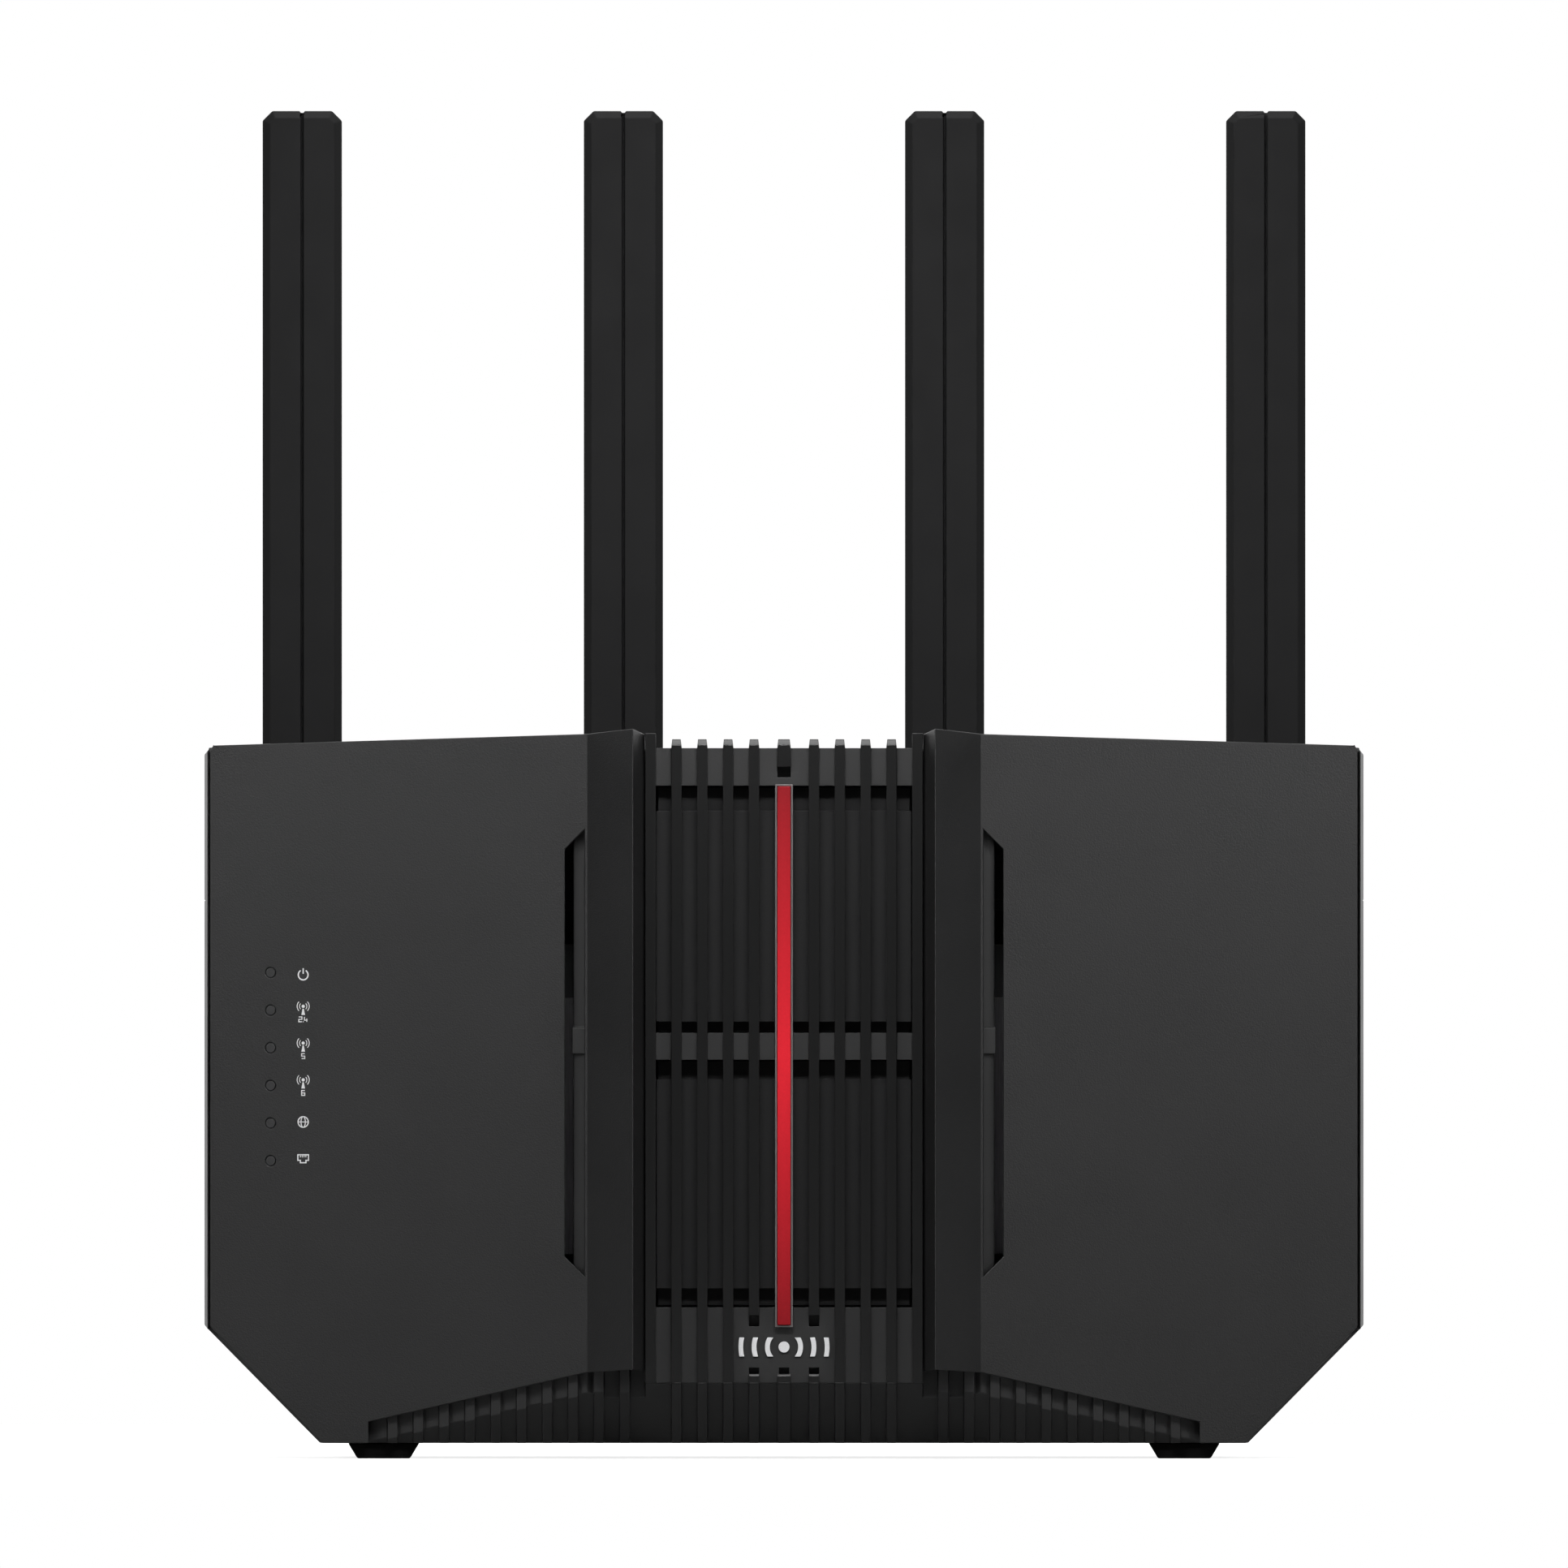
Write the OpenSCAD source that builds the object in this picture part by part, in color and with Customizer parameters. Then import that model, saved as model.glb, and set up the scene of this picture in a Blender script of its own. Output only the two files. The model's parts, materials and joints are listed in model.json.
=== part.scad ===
// Wireless router with swept wings, a ribbed vent column and four folding blade antennas.
// Millimetres. +Z is up, the front faces -Y, and the origin is on the table under the middle of the body.

/* [Body] */
// Width across the housing
body_w = 262; // [258:1:266]
// Depth from the ridge crests to the rear wall
body_d = 75; // [74:1:80]
// Height of the ridge crests above the table
crest_z = 164.8; // [162:0.2:170]
// Height of the rubber feet
foot_h = 3.5; // [2.5:0.1:4]
// Angle by which each wing is swept back
wing_sweep = 15; // [14:0.5:16]
// Angle by which the top falls towards the back
top_fall = 6.5; // [5:0.5:7]
// Wall thickness of the housing mouldings
wall = 2.2; // [2:0.1:2.4]

/* [Wing covers] */
// Distance from the middle to the fold between wing and ridge
fold_x = 44.4; // [44:0.1:45]
// Distance from the middle to the ridge crest
crest_x = 34; // [33.6:0.1:34.6]
// How far the ridge crest stands in front of the fold
ridge_h = 10.4; // [9.5:0.1:11]
// Thickness of the covers
cover_t = 1.8; // [1.5:0.1:2]
// Distance from the front of a cover to the housing behind it
cover_gap = 3.2; // [3:0.1:3.6]

/* [Vent column] */
// Distance from the middle to the outside of the side rails
column_x = 31.3; // [31:0.1:31.6]
// Distance between neighbouring ribs
rib_pitch = 5.83; // [5.7:0.01:5.9]
// Width of a rib
rib_w = 2.33; // [2:0.01:2.6]
// Width of the light bar
bar_w = 3; // [2.4:0.1:3.2]

/* [Antennas] */
// Height of the antenna tips above the table
antenna_top = 304.6; // [260:0.2:330]
// Width of an antenna blade
blade_w = 17.9; // [16:0.1:18.4]
// Thickness of an antenna blade
blade_t = 10; // [9:0.1:10.4]
// Distance between neighbouring antennas
antenna_pitch = 72.7; // [70:0.1:73]
// Width of the bevel round a blade's front and back
blade_bevel = 1.65; // [1:0.05:2]

/* [Hidden] */
$fn = 48;
big = 400;

// Heights and depths of the body
base_z = foot_h;
crest_y = -body_d / 2;
back_y = body_d / 2;
fold_y = crest_y + ridge_h;
shelf_z = 126;
shelf_front_y = 9;
shelf_back_y = 31.5;
tip_back_y = 28;
back_flat_x = 78;
split_y = -8;

// Layers of the vent column, from front to back
rib_y = fold_y - 1.2;
band_y = rib_y + 1.8;
panel_y = band_y + 2;
column_back_y = panel_y + 2;
channel_drop = 3.1;

// Underside chamfer of the front, a plane that runs down and back from the crease
crease_z = 17.25;
chamfer_fall = 0.846;

// Vent column heights
top_band_z = [151.9, 160.4];
cross_band_z = [90.1, 96.2];
bottom_band_z = [crease_z, 34.3];
upper_panel_z = [98.7, 146.3];
lower_panel_z = [38.4, 85.7];
bar_z = [30.3, 151.8];
bezel_w = 4;
bezel_rim = 0.45;

// Wing cover outline
cover_x = 129.7;
rim_x = 130.05;
notch_x = 93.8;
notch_z = 8.3;
cover_foot_x = 104.4;
cover_corner_z = 29.9;
slot_x = [45, 49.4];
slot_z = [41.3, 142];

// LED column on the left wing
led_x = 116;
led_top_z = 109.7;
led_pitch = 8.5;
led_count = 6;
led_d = 2.2;

// Boards and ports
board_y = 12.4;
board_t = 1.6;
board_back_y = board_y + board_t;
port_z = 21;
plate_y = [34, 36];
plate_size = [152, 20];
jack_w = 16;
jack_h = 13.4;
jack_face_y = plate_y[0] - 0.1;
wan_x = 11.5;
lan_x = [-56, -40, -24, -8];
usb_x = 31;
power_x = 48;
dc_x = 62;
reset_x = 72;
wps_x = -71;

// Antenna stand and hinge
antenna_y = 20.2;
hinge_h = 10;
stem_r = 4.5;
pin_r = 1.5;
run_gap = 0.05;
free_gap = 0.3;
ear_r = 4.5;

blade_foot = hinge_h + ear_r + free_gap;
blade_top = antenna_top - shelf_z;

// Feet, wall slots, buttons and fixings
feet_x = 90.4;
feet_y = [[-9, 3], [14, 26]];
screw_spots = [for (x = [-100, 100], z = [22, 105]) [x, z]];
board_spots = [for (x = [-84, 84], z = [17, 110]) [x, z]];
keyhole_x = 62;
keyhole_z = 43;
power_travel = 2;
tact_travel = 0.6;

// ---- Helpers ----

function unit(v) = v / norm(v);
function left_of(v) = [-v[1], v[0]];
function mitre(a, b) = (a + b) / (1 + a * b);
function reversed(list) = [for (i = [len(list) - 1:-1:0]) list[i]];
function mirrored(list) = [for (p = reversed(list)) [-p[0], p[1]]];

// Moves every side of a closed counter-clockwise outline inwards by t
function inset(p, t) = let (n = len(p)) [
    for (i = [0:n - 1])
        let (before = left_of(unit(p[i] - p[(i + n - 1) % n])), after = left_of(unit(p[(i + 1) % n] - p[i])))
        p[i] + t * mitre(before, after)
];

// Moves an open path to its left by t
function beside(p, t) = let (last = len(p) - 1) [
    for (i = [0:last])
        let (before = left_of(unit(p[max(i, 1)] - p[max(i, 1) - 1])))
        let (after = left_of(unit(p[min(i, last - 1) + 1] - p[min(i, last - 1)])))
        p[i] + t * mitre(before, after)
];

function wing_y(x) = fold_y + (x - fold_x) * tan(wing_sweep);
function base_y(x) = wing_y(x) + cover_gap;
function top_z(y) = crest_z - tan(top_fall) * (y - crest_y);
function channel_z(y) = top_z(y) - channel_drop;
function chamfer_z(y) = crease_z - chamfer_fall * (y - band_y);
function rib_x(i) = 1.16 * rib_pitch + i * rib_pitch;

// Extrudes an outline of X and Z points along Y, from y0 to y1
module along_y(y0, y1) {
    translate([0, y1, 0]) rotate([90, 0, 0]) linear_extrude(y1 - y0) children();
}

// Extrudes an outline of Y and Z points along X, from x0 to x1
module along_x(x0, x1) {
    translate([x0, 0, 0]) rotate([90, 0, 90]) linear_extrude(x1 - x0) children();
}

// A box from its lowest to its highest corner
module block(low, high) {
    translate(low) cube(high - low);
}

// A rod along Y
module rod_y(x, z, y0, y1, r) {
    translate([x, y1, z]) rotate([90, 0, 0]) cylinder(r = r, h = y1 - y0);
}

// Local frame of a wing: X along the wing from the fold, Y into the wing, Z up
module on_wing(side) {
    mirror([side < 0 ? 1 : 0, 0, 0]) translate([fold_x, fold_y, 0]) rotate([0, 0, wing_sweep]) children();
}

// ---- Housing form ----

// Plan of the housing without its rims
function core_plan() = let (
    half = [
        [column_x, column_back_y], [rib_x(6) - rib_w / 2, column_back_y], [fold_x, base_y(fold_x)],
        [rim_x, base_y(rim_x)], [body_w / 2, base_y(rim_x) + 6], [body_w / 2, tip_back_y],
        [back_flat_x, back_y],
    ]
) concat(half, mirrored(half));

// Front outline of the housing: lower corners cut off, small top corners
front_outline = let (
    edge = body_w / 2,
    half = [[104.8, base_z], [edge, 30], [edge, 159], [edge - 1, 160], [edge - 1, big / 2]]
) concat(half, mirrored(half));

// Side outline: chamfer, floor, rear wall, antenna shelf and top.
// The chamfer can be moved out and the top dropped.
function side_outline(chamfer_out = 0, drop = 0) = let (
    lift = chamfer_out * sqrt(1 + chamfer_fall * chamfer_fall),
    floor_y = band_y + (crease_z - lift - base_z) / chamfer_fall,
    front_y = crest_y - 4
) [
    [floor_y, base_z], [33, base_z], [back_y, base_z + 4.5], [back_y, 104], [shelf_back_y, shelf_z],
    [shelf_front_y, shelf_z], [shelf_front_y - 1, top_z(shelf_front_y) - drop],
    [front_y, top_z(front_y) - drop], [front_y, chamfer_z(front_y) - lift],
];

// Solid with the housing's outer shape, moved in by t
module housing_form(t = 0, drop = 0, chamfer_out = 0) {
    intersection() {
        linear_extrude(big / 2) polygon(inset(core_plan(), t));
        along_y(-big / 2, big / 2) polygon(inset(front_outline, t));
        along_x(-big / 2, big / 2) polygon(inset(side_outline(chamfer_out, drop), t));
    }
}

// Chin below the vent column, in front of the core
module chin() {
    intersection() {
        block([-column_x, band_y, 0], [column_x, column_back_y + wall, crease_z]);
        along_x(-column_x, column_x) polygon(side_outline());
    }
}

// Thin rim that runs up beside each wing cover
module side_rims() {
    rim = [
        [rim_x, base_y(rim_x) + 1], [rim_x, wing_y(rim_x) + 0.4], [rim_x + 0.2, wing_y(rim_x) + 0.3],
        [body_w / 2, base_y(rim_x) + 6], [body_w / 2 - 1.2, base_y(rim_x) + 6],
    ];
    intersection() {
        linear_extrude(big / 2) {
            polygon(rim);
            polygon(mirrored(rim));
        }
        along_y(-big / 2, big / 2) polygon(front_outline);
        along_x(-big / 2, big / 2) polygon(side_outline());
    }
}

// Low ribs on the base, seen below the covers and on the chamfer
module base_ribs() {
    proud = 1.2;
    intersection() {
        union() {
            for (side = [-1, 1], i = [0:14])
                if (i != 4)
                    block([side * rib_x(i) - rib_w / 2, -60, base_z], [side * rib_x(i) + rib_w / 2, 0, 26]);
            block([-bar_w / 2, -60, base_z], [bar_w / 2, 0, 26]);
        }
        union() {
            linear_extrude(big / 2) polygon(inset(core_plan(), -proud));
            block([-column_x, rib_y, 0], [column_x, 0, crease_z]);
            block([-rib_x(6) - rib_w, band_y + 0.6, 0], [rib_x(6) + rib_w, 0, 26]);
        }
        along_x(-big / 2, big / 2) polygon(side_outline(chamfer_out = proud));
        along_y(-big / 2, big / 2) polygon(front_outline);
    }
}

// Everything in front of the split between the two housing halves
module front_zone() {
    corner_x = fold_x + (split_y - 3 - fold_y - cover_gap) / tan(wing_sweep);
    end_x = body_w / 2 + 5;
    half = [[corner_x, split_y], [end_x, base_y(end_x) + 3], [end_x, -60]];
    translate([0, 0, -1]) linear_extrude(big / 2 + 1)
        polygon(concat(reversed(half), mirrored(reversed(half))));
}

// Room in the middle for the grille, and the lower top between the rails
module column_room() {
    block([-column_x - 0.05, -60, crease_z], [column_x + 0.05, column_back_y, big / 2]);
    along_x(-column_x - 0.05, column_x + 0.05)
        polygon([[-60, channel_z(-60)], [60, channel_z(60)], [60, 300], [-60, 300]]);
}

module cavity() {
    housing_form(t = wall, drop = channel_drop + wall);
}

// A rod at each housing screw, for the screw pillars and for their holes
module pillars(y0, y1, r) {
    for (spot = screw_spots) rod_y(spot[0], spot[1], y0, y1, r);
}

module front_housing() {
    color("#2b2b2c") difference() {
        intersection() {
            union() {
                difference() {
                    union() {
                        housing_form();
                        chin();
                        side_rims();
                        base_ribs();
                    }
                    cavity();
                }
                intersection() {
                    pillars(-30, split_y + 8, 4);
                    housing_form();
                }
                crossbar_tabs();
            }
            front_zone();
        }
        column_room();
        block([-28.9, -60, bottom_band_z[1]], [28.9, 0, top_band_z[0]]);
        pillars(-9, 20, 1.55);
        led_holes(2.6);
        shadow_slots();
    }
}

// Dark gaps beside the inner panels, seen through the slots of the wing covers
module shadow_slots() {
    for (side = [-1, 1])
        on_wing(side) block([4.1, 0, slot_z[0] - 2], [8, 9, slot_z[1] + 2]);
}

// Tabs beside the ridges, seen through the slots of the wing covers
module crossbar_tabs() {
    for (side = [-1, 1])
        on_wing(side) block([0.3, cover_t + 0.1, 91.4], [6, cover_gap + 1, 97.4]);
}

module led_holes(d) {
    on_wing(-1)
        for (i = [0:led_count - 1])
            rod_y((led_x - fold_x) / cos(wing_sweep), led_top_z - i * led_pitch, -5, 8, d / 2);
}

// Shell behind the split, from z0 to z1
module back_shell(z0, z1) {
    difference() {
        housing_form();
        cavity();
        front_zone();
        column_room();
        block([-big, -big, -1], [big, big, z0]);
        block([-big, -big, z1], [big, big, big]);
    }
}

module upper_back_cover() {
    color("#232324") back_shell(shelf_z, big - 1);
}

module rear_housing() {
    color("#232324") difference() {
        union() {
            back_shell(0, shelf_z);
            intersection() {
                difference() {
                    union() {
                        pillars(split_y, 60, 5);
                        for (spot = board_spots) rod_y(spot[0], spot[1], board_back_y, back_y - 1, 3.2);
                    }
                    front_zone();
                }
                housing_form();
            }
        }
        pillars(-9, 20, 1.7);
        pillars(14, 60, 3.6);
        for (spot = board_spots) rod_y(spot[0], spot[1], board_back_y - 1, board_back_y + 10, 1.3);
        block([-plate_size[0] / 2 - 0.1, 30, port_z - plate_size[1] / 2 - 0.1],
              [plate_size[0] / 2 + 0.1, 60, port_z + plate_size[1] / 2 + 0.1]);
        stem_holes();
        rear_vents();
        side_vents();
        keyholes();
        block([-40.2, back_y - 0.35, 36.8], [40.2, 60, 57.2]);
    }
}

module stem_holes() {
    for (n = [1:4]) translate([antenna_x(n), antenna_y, shelf_z - 8]) cylinder(r = stem_r + run_gap, h = 12);
}

// Two rows of upright slots in the rear wall
module rear_vents() {
    for (i = [-10:10], z = [62, 83]) block([i * 6 - 1.4, 30, z], [i * 6 + 1.4, 60, z + 17]);
}

// Upright slots in both side walls
module side_vents() {
    for (side = [-1, 1], i = [0:3])
        translate([side * body_w / 2, 9 + i * 4.5, 60]) block([-5, -1, 0], [5, 1, 44]);
}

// Keyhole slots for wall screws
module keyholes() {
    for (side = [-1, 1]) translate([side * keyhole_x, 0, keyhole_z]) {
        rod_y(0, 0, 30, 60, 4.2);
        rod_y(0, 9, 30, 60, 2.2);
        block([-2.2, 30, 0], [2.2, 60, 9]);
    }
}

// ---- Wing covers ----

// Plan path of a cover: steep inner face, crest, fold, wing
cover_path = [
    [column_x + 0.1, band_y - 0.2], [crest_x, crest_y], [fold_x, fold_y], [cover_x, wing_y(cover_x)],
];

// Front outline of a cover, with the sloped notch at its foot
cover_outline = [
    [column_x, 19.8], [crest_x, 20.4], [fold_x, 19.6], [notch_x, notch_z], [notch_x, base_z],
    [cover_foot_x, base_z], [cover_x, cover_corner_z], [cover_x, 160.1], [cover_x - 0.8, 160.9],
    [cover_x - 0.8, 200], [column_x, 200],
];

module wing_cover() {
    difference() {
        intersection() {
            linear_extrude(big / 2) polygon(concat(cover_path, reversed(beside(cover_path, cover_t))));
            along_y(-60, 60) polygon(cover_outline);
            along_x(0, 200) polygon([[-60, 0], [60, 0], [60, top_z(60)], [-60, top_z(-60)]]);
        }
        along_y(-60, 60) polygon([
            [slot_x[0], slot_z[0]], [slot_x[1], slot_z[0] + 4.4],
            [slot_x[1], slot_z[1] - 4.4], [slot_x[0], slot_z[1]],
        ]);
    }
}

module right_wing_cover() {
    color("#353536") wing_cover();
}

module left_wing_cover() {
    color("#353536") difference() {
        mirror([1, 0, 0]) wing_cover();
        led_holes(2.4);
    }
}

module led_lenses() {
    color("#2a2a2b") on_wing(-1)
        for (i = [0:led_count - 1])
            rod_y((led_x - fold_x) / cos(wing_sweep), led_top_z - i * led_pitch, 0.05, 8.7, led_d / 2);
}

module led_board() {
    color("#111312") on_wing(-1) block([66, 9, 60], [82, 10.2, 116]);
}

// ---- Vent column ----

// Side outline of a full rib: chamfered top that runs back over the top of the body
rib_outline = [
    [rib_y, crease_z], [panel_y, crease_z], [panel_y, channel_z(panel_y)], [-10, channel_z(-10)],
    [-10, channel_z(-10) + 1.9], [rib_y + 1.1, 162.4], [rib_y, 161.1],
];

module rib(x, w) {
    half = [[w / 2, 0], [w / 2, 160.6], [w / 2 - 0.2, 162.4], [w / 2 - 0.2, 170]];
    intersection() {
        along_x(x - w / 2, x + w / 2) polygon(rib_outline);
        translate([x, 0, 0]) along_y(-60, 60) polygon(concat(half, mirrored(half)));
    }
}

module band(z) {
    block([-column_x + 2, band_y, z[0]], [column_x - 2, panel_y, z[1]]);
}

module side_rail(side) {
    intersection() {
        block([side * 30.1 - 1.2, rib_y, crease_z], [side * 30.1 + 1.2, column_back_y, 200]);
        along_x(-50, 50) polygon([[-60, 0], [60, 0], [60, top_z(60)], [-60, top_z(-60)]]);
    }
}

module centre_grille() {
    short_rib_z = 19.3;
    notch_top_z = 20.7;
    window_z = [30, 32.6];
    bevel = 0.45;
    color("#303031") difference() {
        union() {
            for (side = [-1, 1]) {
                side_rail(side);
                for (i = [1:3]) rib(side * rib_x(i), rib_w);
            }
            band(top_band_z);
            band(cross_band_z);
            band(bottom_band_z);
            difference() {
                for (x = [-rib_x(0), 0, rib_x(0)]) rib(x, x == 0 ? bar_w : rib_w);
                block([-10, -60, short_rib_z], [10, band_y, window_z[1]]);
                along_x(-10, 10) polygon([
                    [rib_y - 1, short_rib_z - bevel - 1],
                    [rib_y + bevel, short_rib_z],
                    [rib_y - 1, short_rib_z],
                ]);
            }
        }
        for (x = [-rib_x(0), rib_x(0)])
            block([x - rib_w / 2, -60, window_z[0]], [x + rib_w / 2, 0, window_z[1]]);
        for (x = [-rib_x(0), 0, rib_x(0)])
            block([x - rib_w / 2, -60, short_rib_z], [x + rib_w / 2, 0, notch_top_z]);
        block([-bar_w / 2, -60, 153.8], [bar_w / 2, 0, 156.2]);
        block([-bar_w / 2 - 0.1, -60, bar_z[1]], [bar_w / 2 + 0.1, band_y, 153.8]);
        block([-bezel_w / 2, -60, bar_z[0] - bezel_rim], [bezel_w / 2, 0, bar_z[1] + bezel_rim]);
    }
}

// Baffle behind the gap beyond a panel's edge, on four webs. way is 1 above the panel and -1 below it.
module baffle(edge_z, gap, way) {
    foot = edge_z - 2 * way;
    tip = edge_z + gap * way;
    block([-28.5, panel_y + 3, min(foot, tip)], [28.5, panel_y + 4, max(foot, tip)]);
    for (x = [-21.3, -9.6, 9.6, 21.3])
        block([x - 0.5, panel_y + 1, min(foot, edge_z)], [x + 0.5, panel_y + 3.2, max(foot, edge_z)]);
}

// Panel between two heights, with a baffle reaching by gaps below and above it
module vent_panel(z, gaps) {
    difference() {
        block([-28.85, panel_y, z[0]], [28.85, panel_y + 1.2, z[1]]);
        block([-1, -60, z[0] + 3], [1, 0, z[1] - 3]);
    }
    baffle(z[0], gaps[0], -1);
    baffle(z[1], gaps[1], 1);
}

module upper_vent_panel() {
    color("#272728") vent_panel(upper_panel_z, [2.4, 5.3]);
}

module lower_vent_panel() {
    color("#272728") vent_panel(lower_panel_z, [3.8, 4.3]);
}

module light_bar() {
    color("#c0202c") block([-bar_w / 2, rib_y - 0.5, bar_z[0]], [bar_w / 2, panel_y, bar_z[1]]);
}

module light_bar_bezel() {
    color("#3a3a3b") difference() {
        block([-bezel_w / 2, rib_y, bar_z[0] - bezel_rim], [bezel_w / 2, panel_y, bar_z[1] + bezel_rim]);
        block([-bar_w / 2 - 0.05, -60, bar_z[0] - 0.05], [bar_w / 2 + 0.05, 0, bar_z[1] + 0.05]);
    }
}

module light_bar_board() {
    color("#111312") block([-1.9, panel_y + 1.3, 37], [1.9, panel_y + 2.3, 149]);
}

// Generic radio-wave mark: a dot with three arcs on each side, cut off above and below
module badge() {
    badge_z = 25.35;
    badge_h = 4.3;
    color("silver") intersection() {
        block([-11, band_y - 1, badge_z - badge_h / 2], [11, band_y, badge_z + badge_h / 2]);
        union() {
            rod_y(0, badge_z, band_y - 0.6, band_y, 1.25);
            for (r = [4, 7, 10])
                difference() {
                    rod_y(0, badge_z, band_y - 0.6, band_y, r + 0.3);
                    rod_y(0, badge_z, band_y - 1, band_y + 1, r - 0.8);
                }
        }
    }
}

// ---- Inside ----

module main_board() {
    color("#111312") difference() {
        block([-88, board_y, 8], [88, board_back_y, 116]);
        for (spot = board_spots) rod_y(spot[0], spot[1], 0, 30, 1.6);
    }
}

// Screw along Y with a cross recess: head_y and tip_y are where its head and shank end
module screw(spot, head_y, seat_y, tip_y, head_r, shank_r) {
    slot = head_r * 0.62;
    difference() {
        union() {
            rod_y(spot[0], spot[1], min(head_y, seat_y), max(head_y, seat_y), head_r);
            rod_y(spot[0], spot[1], min(tip_y, seat_y), max(tip_y, seat_y), shank_r);
        }
        for (size = [[slot, 0.35], [0.35, slot]])
            translate([spot[0], head_y, spot[1]])
                block([-size[0], -1.2, -size[1]], [size[0], 1.2, size[1]]);
    }
}

module board_screws() {
    color("silver") for (spot = board_spots) screw(spot, board_y - 1.8, board_y, board_back_y + 8, 2.8, 1.25);
}

// Middle and size of each shield can on the board, across X and Z
shields = [[-46, 82, 44, 34], [4, 66, 36, 36], [50, 84, 42, 34]];

// A block over each shield can, from y0 to y1, with its edge moved in by t
module over_shields(y0, y1, t) {
    for (s = shields)
        translate([s[0], 0, s[1]]) block([t - s[2] / 2, y0, t - s[3] / 2], [s[2] / 2 - t, y1, s[3] / 2 - t]);
}

module rf_shields() {
    color("silver") over_shields(board_y - 3, board_y, 0);
}

module thermal_pads() {
    color("lightblue") over_shields(board_y - 4, board_y - 3, 4);
}

module heat_sink() {
    color("#222224") {
        block([-72, board_y - 7, 46], [76, board_y - 4, 104]);
        for (i = [0:14]) block([-72 + i * 10.4, board_y - 20, 46], [-70.5 + i * 10.4, board_y - 6, 104]);
    }
}

module coax_leads() {
    r = 0.7;
    knee_z = 115;
    color("black") for (n = [1:4]) {
        x = antenna_x(n);
        end_x = min(max(x, -78), 78);
        low = min(x, end_x);
        translate([x, antenna_y, knee_z]) cylinder(r = r, h = shelf_z - 7.5 - knee_z);
        translate([x, antenna_y, knee_z]) sphere(r = r);
        if (low < max(x, end_x))
            translate([low, antenna_y, knee_z]) rotate([0, 90, 0]) cylinder(r = r, h = max(x, end_x) - low);
        translate([end_x, antenna_y, knee_z]) sphere(r = r);
        rod_y(end_x, knee_z, board_back_y, antenna_y, r);
    }
}

// ---- Ports ----

// Mouth of a network jack: the plug's opening with the latch slot below it
module jack_mouth(x, y0, y1, grow = 0) {
    block([x - 5.9 - grow, y0, port_z - 2.6 - grow], [x + 5.9 + grow, y1, port_z + 4.4 + grow]);
    block([x - 3.1 - grow, y0, port_z - 4.8 - grow], [x + 3.1 + grow, y1, port_z - 2]);
}

module jack_block(xs) {
    difference() {
        block([xs[0] - jack_w / 2, board_back_y, port_z - jack_h / 2],
              [xs[len(xs) - 1] + jack_w / 2, jack_face_y, port_z + jack_h / 2]);
        for (x = xs) jack_mouth(x, jack_face_y - 14, 60);
    }
}

module wan_jack() {
    color("#2850a0") jack_block([wan_x]);
}

module lan_jacks() {
    color("#c8a020") jack_block(lan_x);
}

module usb_shell() {
    color("silver") difference() {
        block([usb_x - 7.25, board_back_y, port_z - 3.55], [usb_x + 7.25, jack_face_y, port_z + 3.55]);
        block([usb_x - 6.6, jack_face_y - 12, port_z - 2.85], [usb_x + 6.6, 60, port_z + 2.85]);
    }
}

module usb_tongue() {
    color("#2850a0") block([usb_x - 5.6, jack_face_y - 12, port_z + 0.4],
                           [usb_x + 5.6, jack_face_y - 0.8, port_z + 2.2]);
}

module dc_inlet() {
    color("#1c1c1c") difference() {
        block([dc_x - 4.75, board_back_y, port_z - 5.5], [dc_x + 4.75, jack_face_y, port_z + 5.5]);
        rod_y(dc_x, port_z, jack_face_y - 10, 60, 2.85);
    }
}

module dc_pin() {
    color("gold") rod_y(dc_x, port_z, jack_face_y - 10, jack_face_y - 0.6, 1);
}

module port_plate() {
    color("#1f1f20") difference() {
        union() {
            block([-plate_size[0] / 2, plate_y[0], port_z - plate_size[1] / 2],
                  [plate_size[0] / 2, plate_y[1], port_z + plate_size[1] / 2]);
            block([-plate_size[0] / 2 - 2, plate_y[0], port_z - plate_size[1] / 2 - 2],
                  [plate_size[0] / 2 + 2, back_y - wall - 0.05, port_z + plate_size[1] / 2 + 2]);
        }
        for (x = concat(lan_x, [wan_x])) jack_mouth(x, 0, 60, 0.3);
        block([usb_x - 7, 0, port_z - 3.3], [usb_x + 7, 60, port_z + 3.3]);
        rod_y(dc_x, port_z, 0, 60, 4.2);
        block([power_x - 4.3, 0, port_z - 4.3], [power_x + 4.3, 60, port_z + 4.3]);
        rod_y(wps_x, port_z, 0, 60, 3.3);
        rod_y(reset_x, port_z, 0, 60, 1.4);
    }
}

// ---- Buttons and switches ----

module power_button() {
    color("#2a2a2b") {
        block([power_x - 4, plate_y[0] - 3, port_z - 4], [power_x + 4, back_y - 0.1, port_z + 4]);
        block([power_x - 5.2, plate_y[0] - 1.6, port_z - 5.2],
              [power_x + 5.2, plate_y[0] - 0.3, port_z + 5.2]);
    }
}

module round_button(x, r, face_y) {
    rod_y(x, port_z, board_back_y + 3.8 + tact_travel, face_y, r);
    rod_y(x, port_z, plate_y[0] - 1.6, plate_y[0] - 0.3, r + 1);
}

module wps_button() {
    color("#2a2a2b") round_button(wps_x, 3, back_y - 0.4);
}

module reset_button() {
    color("#b02020") round_button(reset_x, 1.1, plate_y[1] - 1.2);
}

module power_switch() {
    color("#202020") block([power_x - 4, board_back_y, port_z - 4],
                           [power_x + 4, plate_y[0] - 3 - power_travel - 0.3, port_z + 4]);
}

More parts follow.
